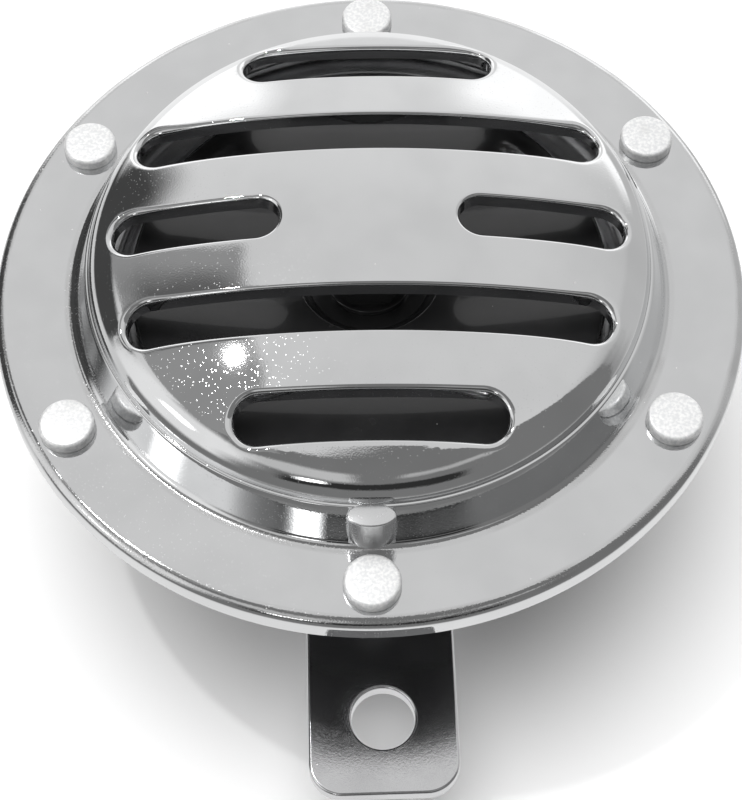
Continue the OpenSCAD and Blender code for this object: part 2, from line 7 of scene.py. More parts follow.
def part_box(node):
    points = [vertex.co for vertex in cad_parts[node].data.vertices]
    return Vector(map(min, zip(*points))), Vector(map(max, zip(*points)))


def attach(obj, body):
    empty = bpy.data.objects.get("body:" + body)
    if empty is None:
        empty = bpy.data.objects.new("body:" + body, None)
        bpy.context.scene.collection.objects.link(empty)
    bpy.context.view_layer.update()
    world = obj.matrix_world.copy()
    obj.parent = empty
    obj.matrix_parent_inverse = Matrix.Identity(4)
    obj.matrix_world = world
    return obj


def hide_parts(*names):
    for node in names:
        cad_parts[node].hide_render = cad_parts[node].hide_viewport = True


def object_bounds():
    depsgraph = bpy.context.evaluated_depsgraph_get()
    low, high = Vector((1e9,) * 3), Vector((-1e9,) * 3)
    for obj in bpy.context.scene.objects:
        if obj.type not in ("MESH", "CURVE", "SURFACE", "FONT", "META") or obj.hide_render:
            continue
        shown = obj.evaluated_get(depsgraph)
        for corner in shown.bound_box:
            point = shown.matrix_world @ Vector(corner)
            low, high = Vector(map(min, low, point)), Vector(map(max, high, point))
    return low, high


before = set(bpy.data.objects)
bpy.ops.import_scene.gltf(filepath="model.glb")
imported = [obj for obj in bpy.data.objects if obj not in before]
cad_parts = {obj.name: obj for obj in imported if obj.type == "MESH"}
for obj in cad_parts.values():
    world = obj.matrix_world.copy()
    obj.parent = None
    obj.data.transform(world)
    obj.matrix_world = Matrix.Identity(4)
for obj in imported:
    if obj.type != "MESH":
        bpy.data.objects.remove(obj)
cad_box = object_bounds()

# Camera and studio
# The horn is looked down on from in front of its strap, at about 60 degrees, over a plain pale floor.
# A soft dome of light is pale overhead and beyond the horn and darker on the viewer's side, as outdoors
# under an open sky. A wide lamp overhead lights the floor, and a small one gives the plating its sparkle.

# The camera is as fitted to the rim, the rivets and the strap in the photograph; lengths are in metres.
MM = 0.001
PHOTO_HEIGHT = 800
FOCAL_PIXELS = 1874.7
SENSOR = 36
EYE = (-0.32 * MM, -88.47 * MM, 240.0 * MM)
SIGHT = (-0.0030, 0.50086, -0.86552)
CAMERA_ROLL = math.radians(-0.985)
FLOOR_R, FLOOR_DROP = 3, 0.3 * MM
HORN_MIDDLE = (0, 0.05, 0.02)


class Wire:
    """A value on its way through a node tree, so that maths on it reads as maths."""

    def __init__(self, tree, socket):
        self.tree = tree
        self.socket = socket

    def maths(self, operation, *others):
        return self.tree.node("ShaderNodeMath", {"operation": operation}, dict(enumerate((self, *others))))

    def __add__(self, other):
        return self.maths("ADD", other)

    def __sub__(self, other):
        return self.maths("SUBTRACT", other)

    def __rsub__(self, other):
        return self.tree.node("ShaderNodeMath", {"operation": "SUBTRACT"}, {0: other, 1: self})

    def __mul__(self, other):
        return self.maths("MULTIPLY", other)

    __radd__ = __add__
    __rmul__ = __mul__

    def rise(self, low, high):
        """0 at low and 1 at high, with a soft step between; falls where high is less than low."""
        values = {"Value": self, "From Min": low, "From Max": high}
        return self.tree.node("ShaderNodeMapRange", {"interpolation_type": "SMOOTHSTEP"}, values)


class NodeTree:
    """A node tree under construction, with one way to add any node."""

    def __init__(self, tree):
        self.tree = tree

    def node(self, kind, settings=None, values=None, output=0):
        new = self.tree.nodes.new(kind)
        for name, value in (settings or {}).items():
            setattr(new, name, value)
        for name, value in (values or {}).items():
            socket = new.inputs[name]
            if isinstance(value, Wire):
                self.tree.links.new(value.socket, socket)
            elif isinstance(value, tuple) and len(socket.default_value) > len(value):
                socket.default_value = (*value, 1)
            else:
                socket.default_value = value
        return Wire(self, new.outputs[output])

    def out(self, wire, node, socket):
        self.tree.links.new(wire.socket, self.tree.nodes[node].inputs[socket])


camera = bpy.data.cameras.new("camera")
camera.sensor_width = SENSOR
camera.lens = FOCAL_PIXELS / PHOTO_HEIGHT * SENSOR
camera.clip_start = 0.01
camera.clip_end = 20
viewer = bpy.data.objects.new("viewer", camera)
bpy.context.scene.collection.objects.link(viewer)
viewer.location = EYE
viewer.rotation_mode = "QUATERNION"
viewer.rotation_quaternion = Vector(SIGHT).to_track_quat("-Z", "Y") @ Quaternion((0, 0, 1), CAMERA_ROLL)
bpy.context.scene.camera = viewer
bpy.context.scene.view_settings.view_transform = "Standard"

bpy.ops.mesh.primitive_circle_add(vertices=96, radius=FLOOR_R, fill_type="NGON", location=(0, 0, 0))
floor = bpy.context.object
floor.name = "floor"
floor.data.transform(Matrix.Translation((0, 0, cad_box[0].z - FLOOR_DROP)))
paper = bpy.data.materials.new("floor_paper")
paper.use_nodes = True
paper_inputs = paper.node_tree.nodes["Principled BSDF"].inputs
paper_inputs["Base Color"].default_value = (0.92, 0.92, 0.92, 1)
paper_inputs["Roughness"].default_value = 0.9
floor.data.materials.append(paper)
floor.visible_glossy = False

world = bpy.data.worlds.new("soft_dome")
world.use_nodes = True
bpy.context.scene.world = world
sky = NodeTree(world.node_tree)
direction = sky.node("ShaderNodeTexCoord", output="Generated")
waver = sky.node(
    "ShaderNodeTexNoise", values={"Vector": direction, "Scale": 2.6, "Detail": 3.0}, output="Color"
)
waver = sky.node("ShaderNodeVectorMath", {"operation": "SUBTRACT"}, {0: waver, 1: (0.5, 0.5, 0.5)})
waver = sky.node("ShaderNodeVectorMath", {"operation": "SCALE"}, {0: waver, "Scale": 0.16})
bent = sky.node("ShaderNodeVectorMath", {"operation": "ADD"}, {0: direction, 1: waver})
side, away, upward = (sky.node("ShaderNodeSeparateXYZ", values={0: bent}, output=axis) for axis in "XYZ")


def card(tone, shade, edge, x=(-2, 2), y=(-2, 2), z=(-2, 2)):
    """Lays a soft-edged card of one shade over the sky, between limits of direction; 2 is no limit."""
    cover = 1
    for wire, (low, high) in ((side, x), (away, y), (upward, z)):
        if low > -1:
            cover = wire.rise(low - edge, low + edge) * cover
        if high < 1:
            cover = wire.rise(high + edge, high - edge) * cover
    return tone + (shade - tone) * cover


# The plating mirrors these cards. x runs to the viewer's right, y away from the viewer and z up.
glow = 0.66 + away.rise(0.5, 0.95) * 0.12
for shade, edge, limits in (
    (0.52, 0.15, {"x": (0.5, 2), "z": (-2, 0.75)}),  # duller on the right
    (0.26, 0.15, {"x": (0.55, 2), "y": (-2, 0.05), "z": (-2, 0.5)}),  # and most of all low down there
    (1.0, 0.10, {"x": (-0.5, 0.5), "y": (0.5, 2), "z": (-2, 0.22)}),  # bright low down beyond the horn
    (1.3, 0.06, {"x": (-0.75, -0.2), "y": (0.70, 2), "z": (0.12, 0.5)}),  # brightest just above, left
    (1.2, 0.07, {"x": (0.18, 0.75), "y": (0.68, 2), "z": (0.12, 0.5)}),  # and right
    (0.06, 0.06, {"x": (-2, -0.43), "y": (0.15, 0.8), "z": (-0.2, 0.62)}),  # near black far left
    (0.19, 0.02, {"y": (-2, -0.04)}),  # dark all over the viewer's side
    (0.55, 0.06, {"x": (-0.6, -0.08), "y": (-2, -0.45), "z": (0.5, 0.82)}),  # pale gaps there, high up
    (0.45, 0.04, {"x": (0.16, 0.6), "y": (-2, -0.5), "z": (0.62, 0.72)}),
    (0.85, 0.10, {"x": (-2, -0.55), "y": (-0.7, 0.1), "z": (-0.1, 0.75)}),  # and wide to the left
    (0.30, 0.02, {"x": (-0.60, -0.29), "y": (-0.2, 0.55), "z": (0.5, 2)}),  # grey high on the left
    (0.12, 0.05, {"x": (-0.56, -0.30), "y": (0.3, 0.46), "z": (0.5, 2)}),  # with a dark streak
    (0.03, 0.05, {"x": (-0.5, 0.5), "y": (-2, -0.8), "z": (0.08, 0.4)}),  # near black low down there
    (3.0, 0.04, {"x": (-0.9, -0.79), "y": (-0.42, -0.22), "z": (0.36, 0.52)}),  # two hot patches
    (3.0, 0.04, {"x": (-0.39, -0.25), "y": (-0.96, -0.82), "z": (0.27, 0.42)}),
    (0.8, 0.15, {"z": (-2, -0.5)}),  # the pale ground
):
    glow = card(glow, shade, edge, **limits)
tone = sky.node("ShaderNodeCombineColor", values={0: glow, 1: glow, 2: glow})
sky.out(tone, "Background", "Color")


def lamp(name, at, power, size, in_reflections):
    """A round lamp that faces the horn, with its power in watts and its place and size in metres."""
    light = bpy.data.lights.new(name, "AREA")
    light.shape = "DISK"
    light.energy = power
    light.size = size
    holder = bpy.data.objects.new(name, light)
    bpy.context.scene.collection.objects.link(holder)
    holder.location = at
    holder.rotation_mode = "QUATERNION"
    holder.rotation_quaternion = (Vector(HORN_MIDDLE) - holder.location).to_track_quat("-Z", "Y")
    holder.visible_glossy = in_reflections


lamp("overhead", at=(-0.2, 0.35, 1.8), power=44, size=2.4, in_reflections=False)
lamp("sparkle", at=(-0.544, 0.37, 1.472), power=4.0, size=0.06, in_reflections=True)

# Front grille
# One steel pressing under bright plating: a flat flange with a turned-down lip, a steep wall, a shallow
# dome with a crease round its shoulder, and six slots whose edges are rolled inwards. A small boss stands
# at the foot of the wall. The flange is riveted to the housing.

# Lengths are in millimetres, radii from the horn's axis and heights from the flange's face.
SHEET = 0.9
LIP_DEPTH, LIP_BEND, LIP_LOOP = 3.6, 1.5, 2.6
WALL_R, WALL_FILLET = 40.1, 1.2
LEDGE_R, LEDGE_Z, LEDGE_CORNER = 37.62, 6.1, 0.28
CREASE_R, CREASE_Z, CREASE_FILLET = 37.4, 6.1, 0.1
SHOULDER_R, SHOULDER_SLOPE = 5.0, math.radians(83)
DOME_R = 117.0
# Each slot is a row and its two ends; all rows lie a little further up the dome than their even pitch.
SLOTS = [
    (28, -17, 17),
    (14, -31, 31),
    (0, 11.7, 33.6),
    (0, -33.6, -11.5),
    (-14, -31, 31),
    (-28, -17, 17.2),
]
SLOT_HALF, SLOT_RISE = 3.1, 0.35
ROLL_FINE, ROLL_GROWTH, ROLL_FROM, ROLL_SPAN = 0.5, 0.8, 20, 14
ROLL_DEPTH, ROLL_STEPS = 2.4, 8
# The mesh of the dome has rings inside its neck and round each slot, and an even scatter between them.
# The rows of the scatter are closer than its columns, so that its triangles have equal sides.
ROUND, SLOT_TURN, SLOT_PITCH = 360, 24, 0.8
SLOT_RINGS, SLACK = (0.25, 0.6, 1.1), 0.02
NECK_R, NECK_RINGS, NECK_STEP = 36.0, 7, math.radians(5.5)
SCATTER, ROW_SHARE = 0.95, 0.866
CLEAR_OF_RING, CLEAR_OF_SLOT = 0.2, 1.5

grille_low, grille_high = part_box("front_grille")
RIM_R = (grille_high.x - grille_low.x) / 2 / MM
axis_x = (grille_low.x + grille_high.x) / 2
axis_y = (grille_low.y + grille_high.y) / 2
face_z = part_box("front_gasket")[1].z + SHEET * MM

shoulder_at = (
    CREASE_R - SHOULDER_R * math.sin(SHOULDER_SLOPE),
    CREASE_Z - SHOULDER_R * math.cos(SHOULDER_SLOPE),
)
dome_mid = shoulder_at[1] - math.sqrt((DOME_R - SHOULDER_R) ** 2 - shoulder_at[0] ** 2)
shoulder_start = math.asin(shoulder_at[0] / (DOME_R - SHOULDER_R))
neck_turn = math.asin((NECK_R - shoulder_at[0]) / SHOULDER_R)


def dome_height(r):
    """Height of the outer surface over the flange at distance r from the axis, up to the crease."""
    if r < DOME_R * math.sin(shoulder_start):
        return dome_mid + math.sqrt(DOME_R**2 - r**2)
    return shoulder_at[1] + math.sqrt(max(0.0, SHOULDER_R**2 - (r - shoulder_at[0]) ** 2))


def clamped(value):
    """The value, kept between 0 and 1."""
    return min(1.0, max(0.0, value))


def roll_at(x, y):
    """Radius of the rolled slot edge, small on top of the dome and larger where the dome gets steep."""
    return ROLL_FINE + ROLL_GROWTH * clamped((math.hypot(x, y) - ROLL_FROM) / ROLL_SPAN) ** 4


def slot_loop(slot, part, extra=0.0):
    """Points round a slot, anticlockwise, beyond its narrowest edge by a part of the roll and an extra."""
    row, x0, x1 = slot
    mid, left, right = row + SLOT_RISE, x0 + SLOT_HALF, x1 - SLOT_HALF
    steps = max(2, round((right - left) / SLOT_PITCH))
    spine = [(left + (right - left) * i / steps, -90.0) for i in range(steps)]
    spine += [(right, -90 + 180 * i / SLOT_TURN) for i in range(SLOT_TURN)]
    spine += [(right - (right - left) * i / steps, 90.0) for i in range(steps)]
    spine += [(left, 90 + 180 * i / SLOT_TURN) for i in range(SLOT_TURN)]
    loop = []
    for x, angle in spine:
        out = (math.cos(math.radians(angle)), math.sin(math.radians(angle)))
        roll = roll_at(x + SLOT_HALF * out[0], mid + SLOT_HALF * out[1])
        reach = SLOT_HALF + part * roll + extra
        loop.append((x + reach * out[0], mid + reach * out[1], roll))
    return loop


def roll_margin(x, y):
    """Distance from a point to the nearest start of a rolled edge, negative inside it."""
    margins = []
    for row, x0, x1 in SLOTS:
        nearest = (min(max(x, x0 + SLOT_HALF), x1 - SLOT_HALF), row + SLOT_RISE)
        away_x, away_y = x - nearest[0], y - nearest[1]
        gap = math.hypot(away_x, away_y) or 1e-9
        edge = (nearest[0] + SLOT_HALF * away_x / gap, nearest[1] + SLOT_HALF * away_y / gap)
        margins.append(gap - SLOT_HALF - roll_at(*edge))
    return min(margins)


def plan_points():
    """The dome's mesh in plan: a ring at its neck, loops round the slots, an even scatter between."""
    points, edges = [], []

    def closed(loop):
        first = len(points)
        points.extend(loop)
        edges.extend((first + i, first + (i + 1) % len(loop)) for i in range(len(loop)))

    def on_ring(r, shift=0.0):
        turns = [math.tau * (i + shift) / ROUND for i in range(ROUND)]
        return [(r * math.cos(a), r * math.sin(a)) for a in turns]

    closed(on_ring(NECK_R))
    for slot in SLOTS:
        closed([(x, y) for x, y, _ in slot_loop(slot, 1)])
    for slot in SLOTS:
        for extra in SLOT_RINGS:
            for x, y, _ in slot_loop(slot, 1, extra):
                if math.hypot(x, y) < shoulder_at[0] and roll_margin(x, y) > extra - SLACK:
                    points.append((x, y))
    for step in range(1, NECK_RINGS + 1):
        r = shoulder_at[0] + SHOULDER_R * math.sin(neck_turn - step * NECK_STEP)
        points += [(x, y) for x, y in on_ring(r, step % 2 / 2) if roll_margin(x, y) > CLEAR_OF_RING]
    rows = int(NECK_R / (SCATTER * ROW_SHARE))
    for j in range(-rows, rows + 1):
        for i in range(-rows, rows + 1):
            x, y = (i + j % 2 / 2) * SCATTER, j * SCATTER * ROW_SHARE
            if math.hypot(x, y) < shoulder_at[0] - CLEAR_OF_RING and roll_margin(x, y) > CLEAR_OF_SLOT:
                points.append((x, y))
    return points, edges


def grille_skin():
    """Outer surface of the dome as vertices and faces, with the rolled slot edges turned down."""
    points, edges = plan_points()
    points = [Vector(p) for p in points]
    whole, same_point = 0, 1e-7
    plan, _, faces, *_ = geometry.delaunay_2d_cdt(points, edges, [], whole, same_point)
    verts = [(p.x, p.y, dome_height(p.length)) for p in plan]

    def kept(face):
        x = sum(plan[i].x for i in face) / len(face)
        y = sum(plan[i].y for i in face) / len(face)
        return roll_margin(x, y) > -0.001

    faces = [tuple(f) for f in faces if kept(f)]
    bends = [math.radians(90 * i / ROLL_STEPS) for i in range(ROLL_STEPS + 1)]
    levels = [(1 - math.sin(a), 1 - math.cos(a), 0) for a in bends] + [(0, 1, 0.5), (0, 1, 1)]
    for slot in SLOTS:
        above = None
        for part, drop, straight in levels:
            first = len(verts)
            loop = slot_loop(slot, part)
            for x, y, roll in loop:
                height = dome_height(math.hypot(x, y)) - drop * roll - straight * (ROLL_DEPTH - roll)
                verts.append((x, y, height))
            if above is not None:
                pairs = [(i, (i + 1) % len(loop)) for i in range(len(loop))]
                faces += [(above + i, first + i, first + k, above + k) for i, k in pairs]
            above = first
    return verts, faces


def place(obj):
    """Takes a piece drawn in millimetres about the horn's axis and face to its place in metres."""
    obj.data.transform(Matrix.Translation((axis_x, axis_y, face_z)) @ Matrix.Scale(MM, 4))
    return obj


def select_only(*objs):
    bpy.ops.object.select_all(action="DESELECT")
    for obj in objs:
        obj.select_set(True)
    bpy.context.view_layer.objects.active = objs[0]


def drawn(name, verts, edges, faces=()):
    """A new piece from points, lines and faces, alone selected."""
    mesh = bpy.data.meshes.new(name)
    mesh.from_pydata(verts, edges, faces)
    obj = bpy.data.objects.new(name, mesh)
    bpy.context.scene.collection.objects.link(obj)
    select_only(obj)
    return obj


def in_edit_mode(obj, *steps):
    """Runs edit-mode steps with the whole mesh selected."""
    select_only(obj)
    bpy.ops.object.mode_set(mode="EDIT")
    bpy.ops.mesh.select_all(action="SELECT")
    for step in steps:
        step()
    bpy.ops.object.mode_set(mode="OBJECT")
    return obj


def turned(name, outline, steps, middle=(0, 0)):
    """A piece turned on a lathe: its half outline, as radius and height, spun once round."""
    points = [(middle[0] + r, middle[1], z) for r, z in outline]
    return in_edit_mode(
        drawn(name, points, [(i, i + 1) for i in range(len(outline) - 1)]),
        lambda: bpy.ops.mesh.spin(steps=steps, angle=math.tau, center=(*middle, 0), axis=(0, 0, 1)),
        lambda: bpy.ops.mesh.select_all(action="SELECT"),
        lambda: bpy.ops.mesh.remove_doubles(threshold=0.0005),
        lambda: bpy.ops.mesh.normals_make_consistent(inside=False),
    )


def arc(middle, r, start, end, steps):
    """Points along an arc, as radius and height, with angles in degrees from the horizontal."""
    angles = [math.radians(start + (end - start) * i / steps) for i in range(steps + 1)]
    return [(middle[0] + r * math.cos(a), middle[1] + r * math.sin(a)) for a in angles]


def apply_modifier(obj, name, kind, **settings):
    modifier = obj.modifiers.new(name, kind)
    for key, value in settings.items():
        setattr(modifier, key, value)
    select_only(obj)
    bpy.ops.object.modifier_apply(modifier=name)
    return obj


def combine(obj, operation, tool):
    """Joins a tool to a piece, cuts the piece with it or keeps what both share; the tool is used up."""
    apply_modifier(obj, "tool", "BOOLEAN", operation=operation, object=tool, solver="EXACT")
    bpy.data.objects.remove(tool)


def smooth(obj, angle):
    """Shades a piece smooth, but for edges sharper than so many degrees."""
    select_only(obj)
    bpy.ops.object.shade_smooth_by_angle(angle=math.radians(angle))
    return apply_modifier(obj, "facing", "WEIGHTED_NORMAL", keep_sharp=True)


def flange_outline():
    """From the neck down the shoulder, over the ledge, the wall, the flange and the lip to its edge."""
    neck, crease = 90 - math.degrees(neck_turn), 90 - math.degrees(SHOULDER_SLOPE)
    shoulder = arc(shoulder_at, SHOULDER_R, neck, crease, 12)
    ledge = arc((CREASE_R + CREASE_FILLET, LEDGE_Z + CREASE_FILLET), CREASE_FILLET, 190, 270, 3)
    lean = WALL_R - LEDGE_R - LEDGE_CORNER
    run = math.hypot(LEDGE_Z, lean)
    wall_normal = (LEDGE_Z / run, lean / run)
    wall_turn = math.degrees(math.atan2(wall_normal[1], wall_normal[0]))
    top = arc((LEDGE_R, LEDGE_Z - LEDGE_CORNER), LEDGE_CORNER, 90, wall_turn, 5)
    fillet_at = (WALL_R + WALL_FILLET * (1 - wall_normal[1]) / wall_normal[0], WALL_FILLET)
    foot = (fillet_at[0] - WALL_FILLET * wall_normal[0], fillet_at[1] - WALL_FILLET * wall_normal[1])
    wall = [tuple(t + (f - t) * i / 8 for t, f in zip(top[-1], foot, strict=True)) for i in range(1, 8)]
    fillet = arc(fillet_at, WALL_FILLET, 180 + wall_turn, 270, 10)
    flat_start, flat_end = fillet[-1][0], RIM_R - LIP_BEND
    flat = [(flat_start + (flat_end - flat_start) * i / 10, 0) for i in range(1, 10)]
    lip = arc((flat_end, -LIP_BEND), LIP_BEND, 90, 0, 12)
    return shoulder + ledge + top + wall + fillet + flat + lip + [(RIM_R, -LIP_LOOP), (RIM_R, -LIP_DEPTH)]


skin_verts, skin_faces = grille_skin()
skin = drawn("grille", skin_verts, [], skin_faces)
flange = turned("grille_flange", flange_outline(), steps=ROUND)
select_only(skin, flange)
bpy.ops.object.join()
in_edit_mode(
    skin,
    lambda: bpy.ops.mesh.remove_doubles(threshold=0.002),
    lambda: bpy.ops.mesh.normals_make_consistent(inside=False),
)

# The sheet is thinned where it turns tightly, at the slots' edges and the ledge, so that its inner side
# doesn't fold over itself there.
THINNEST = 0.3
SLOT_EASE, LEDGE_BAND, LEDGE_EASE, OVER_LEDGE = 1.5, 0.4, 0.6, 0.5
gauge = skin.vertex_groups.new(name="gauge")
for vertex in skin.data.vertices:
    x, y, z = vertex.co
    off_ledge = abs(math.hypot(x, y) - LEDGE_R) - LEDGE_BAND
    from_slot = clamped(roll_margin(x, y) / SLOT_EASE) if z > LEDGE_Z + OVER_LEDGE else 1.0
    from_ledge = clamped(off_ledge / LEDGE_EASE) if z > LEDGE_Z / 2 else 1.0
    gauge.add([vertex.index], THINNEST + (1 - THINNEST) * min(from_slot, from_ledge), "REPLACE")
grille = apply_modifier(
    skin, "sheet", "SOLIDIFY", thickness=SHEET, offset=-1, use_even_offset=True, vertex_group="gauge"
)

# The boss is an oval stub that sinks into the flange and stands free of the ledge.
BOSS_R, BOSS_H, BOSS_EDGE, BOSS_FLAT, BOSS_SUNK, BOSS_IN = 3.1, 6.3, 0.3, 0.52, 0.4, 1.2
boss_y = BOSS_IN - WALL_R
boss = turned("boss", [
    (0, BOSS_H),
    *arc((BOSS_R - BOSS_EDGE, BOSS_H - BOSS_EDGE), BOSS_EDGE, 90, 0, 5),
    (BOSS_R, -BOSS_SUNK),
    (0, -BOSS_SUNK),
], steps=64)
boss.data.transform(Matrix.Translation((0, boss_y, 0)) @ Matrix.Diagonal((1, BOSS_FLAT, 1, 1)))
combine(grille, "UNION", boss)
place(grille)
smooth(grille, 32)
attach(grille, "root")
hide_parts("front_grille")


def socket_name(key):
    return {"ior": "IOR", "specular": "Specular IOR Level"}.get(key, key.replace("_", " ").title())


def finish_of(name, **values):
    """A new material with the values that are the same all over it, and a piece's own coordinates."""
    material = bpy.data.materials.new(name)
    material.use_nodes = True
    inputs = material.node_tree.nodes["Principled BSDF"].inputs
    for key, value in values.items():
        inputs[socket_name(key)].default_value = (*value, 1) if isinstance(value, tuple) else value
    tree = NodeTree(material.node_tree)
    return tree, tree.node("ShaderNodeTexCoord", output="Object"), material


def vary(tree, **wires):
    """Joins what varies over a surface to the shader."""
    for key, wire in wires.items():
        tree.out(wire, "Principled BSDF", socket_name(key))


def noise(tree, here, scale, detail=2.0, roughness=0.5):
    values = {"Vector": here, "Scale": scale, "Detail": detail, "Roughness": roughness}
    return tree.node("ShaderNodeTexNoise", values=values)


def blend(tree, factor, first, second):
    """A mix of two colours, by the Mix node's own sockets for them."""
    return tree.node("ShaderNodeMix", {"data_type": "RGBA"}, {0: factor, 6: first, 7: second}, output=2)


def bump(tree, height, depth):
    """A bump of so many millimetres where the height goes from 0 to 1."""
    return tree.node("ShaderNodeBump", values={"Strength": 1.0, "Distance": depth * MM, "Height": height})


def specks(tree, here, scale, often, size):
    """Scattered round specks, 1 inside each: scale is cells per metre, often the part of cells with one."""
    values = {"Vector": here, "Scale": scale}
    near = tree.node("ShaderNodeTexVoronoi", values=values).rise(size, size * 0.6)
    chance = tree.node("ShaderNodeTexVoronoi", values=values, output="Color")
    pick = tree.node("ShaderNodeSeparateColor", values={0: chance}).rise(1 - often, 1 - often + 0.02)
    return near * pick


def horn_radius(tree, here, beside=0.0, flat=1.0):
    """Distance in millimetres from the horn's axis, or an oval one round a line beside it."""
    centre = (axis_x, axis_y + beside * MM, 0)
    offset = tree.node("ShaderNodeVectorMath", {"operation": "SUBTRACT"}, {0: here, 1: centre})
    x = tree.node("ShaderNodeSeparateXYZ", values={0: offset}, output="X")
    y = tree.node("ShaderNodeSeparateXYZ", values={0: offset}, output="Y") * (1 / flat)
    return (x * x + y * y).maths("SQRT") * (1 / MM)


def dress(obj, material):
    obj.data.materials.clear()
    obj.data.materials.append(material)


# The plating is bright under fine grit and dust, with faint waves from the press and a grain that
# scatters hard light. It is rougher where the sheet was drawn, round the wall's foot and the rim's bend,
# and all over the boss. At the wall's foot and the rim's bend its colour is also darkened, as painted
# shade. Radii and levels are in millimetres, as above.
chrome, here, chrome_material = finish_of("bright_plating")
level = (chrome.node("ShaderNodeSeparateXYZ", values={0: here}, output="Z") - face_z) * (1 / MM)
radius = horn_radius(chrome, here)
grain = noise(chrome, here, 4600.0, detail=0.0)
cloud = noise(chrome, here, 110.0)
waves = noise(chrome, here, 55.0, detail=1.0, roughness=0.35)
foot = radius.rise(WALL_R + 0.1, WALL_R + 0.4) * radius.rise(WALL_R + 1.5, WALL_R + 1.0)
bend = radius.rise(RIM_R - 1.7, RIM_R - 1.2) * radius.rise(RIM_R - 0.05, RIM_R - 0.4)
drawn_metal_and_shade = (foot + bend) * (0.35 + cloud.rise(0.4, 0.6))
on_boss = horn_radius(chrome, here, boss_y, BOSS_FLAT).rise(BOSS_R + 0.2, BOSS_R + 0.05)
on_boss = on_boss * level.rise(BOSS_H + 0.2, BOSS_H + 0.1)
grit = specks(chrome, here, 2600.0, often=0.4, size=0.3)
dust = specks(chrome, here, 430.0, often=0.3, size=0.06)
chrome_roughness = 0.026 + cloud.rise(0.5, 0.8) * 0.014 + drawn_metal_and_shade * 0.14
chrome_roughness = chrome_roughness + grit * 0.2 + dust * 0.3 + on_boss * 0.2
tone = blend(chrome, cloud.rise(0.3, 0.7), (0.81, 0.815, 0.82), (0.86, 0.865, 0.87))
# painted shade: the plating's colour is darkened at the wall's foot and the rim's bend
tone = blend(chrome, drawn_metal_and_shade * 0.5, tone, (0.62, 0.62, 0.62))
tone = blend(chrome, dust, tone, (0.50, 0.50, 0.49))
vary(
    chrome,
    base_color=tone,
    roughness=chrome_roughness,
    metallic=1 - dust * 0.7,
    normal=bump(chrome, waves * 9.0 + grain * (0.3 + drawn_metal_and_shade * 2.2), 0.006),
)
dress(grille, chrome_material)

# Flange rivets
# Six solid rivets hold the grille, gaskets, diaphragm and housing flange together round the rim. Their
# flat heads are zinc coated, dull and almost white, with softened edges; the tails are set behind.

RIVETS, RIVET_CIRCLE, RIVET_START = 6, 45.5, 30
HEAD_R, HEAD_H, HEAD_EDGE = 3.65, 1.7, 0.5
HEAD_CROWN, HEAD_FLAT, HEAD_FLARE, HEAD_UNDERCUT = 0.06, 0.6, 0.03, 0.1
SHANK_R = 2.0
TAIL_R, TAIL_Z, TAIL_H, TAIL_EDGE = 3.1, -3.1, 1.2, 0.8

rivet_outline = [
    (0, HEAD_H),
    (HEAD_R - HEAD_EDGE - HEAD_FLAT, HEAD_H - HEAD_CROWN * 0.3),
    *arc((HEAD_R - HEAD_EDGE, HEAD_H - HEAD_EDGE - HEAD_CROWN), HEAD_EDGE, 90, 0, 7),
    (HEAD_R + HEAD_FLARE, 0.15),
    (HEAD_R - HEAD_UNDERCUT, 0),
    (SHANK_R, 0),
    (SHANK_R, TAIL_Z),
    (TAIL_R, TAIL_Z),
    *arc((TAIL_R - TAIL_EDGE, TAIL_Z - TAIL_H + TAIL_EDGE), TAIL_EDGE, 0, -90, 5),
    (0, TAIL_Z - TAIL_H),
]

zinc, here, zinc_material = finish_of("zinc_coat", metallic=0.55, specular=0.6)
mottle = noise(zinc, here, 2300.0, detail=3.0)
frost = noise(zinc, here, 5200.0)
patina = noise(zinc, here, 260.0)
tone = blend(zinc, mottle.rise(0.38, 0.66), (0.69, 0.695, 0.70), (0.85, 0.85, 0.845))
tone = blend(zinc, patina.rise(0.5, 0.8) * 0.5, tone, (0.56, 0.56, 0.55))
vary(
    zinc,
    base_color=tone,
    roughness=0.28 + frost * 0.24,
    normal=bump(zinc, frost * 0.9 + mottle, 0.012),
)
for number in range(RIVETS):
    turn = math.radians(RIVET_START + 360 / RIVETS * number)
    spot = (RIVET_CIRCLE * math.cos(turn), RIVET_CIRCLE * math.sin(turn))
    rivet = place(turned(f"rivet_{number + 1}", rivet_outline, steps=72, middle=spot))
    smooth(rivet, 40)
    dress(rivet, zinc_material)
    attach(rivet, "root")
    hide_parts("flange_rivets")

# Tone disc
# A pressed disc in gloss black enamel, dished in the middle and rolled at its edge, that sounds under
# the slots. A washer and a thin nut clamp it on a turned stud, which goes through the diaphragm to the
# armature, and are painted with it.

DISC_R, DISC_T = 32.3, 1.2
SEAT_Z, DISH_H = -1.2, 2.0
DISH_FROM, DISH_TO, DISH_STEPS, DISH_SHIFT = 7.9, 10.0, 10, 0.35
STUD_R, FIT = 3.0, 0.05

dish = []
for i in range(DISH_STEPS + 1):
    rise = (1 - math.cos(math.pi * i / DISH_STEPS)) / 2
    dish.append((DISH_FROM + (DISH_TO - DISH_FROM) * i / DISH_STEPS, DISH_H * rise))
disc_outline = [
    (STUD_R + FIT, SEAT_Z + DISC_T),
    *dish,
    *arc((DISC_R - DISC_T / 2, SEAT_Z + DISH_H + DISC_T / 2), DISC_T / 2, 90, -90, 12),
    *[(r + DISH_SHIFT, z + SEAT_Z) for r, z in reversed(dish)],
    (STUD_R + FIT, SEAT_Z),
    (STUD_R + FIT, SEAT_Z + DISC_T),
]
tone_disc = smooth(place(turned("sound_disc", disc_outline, steps=180)), 40)

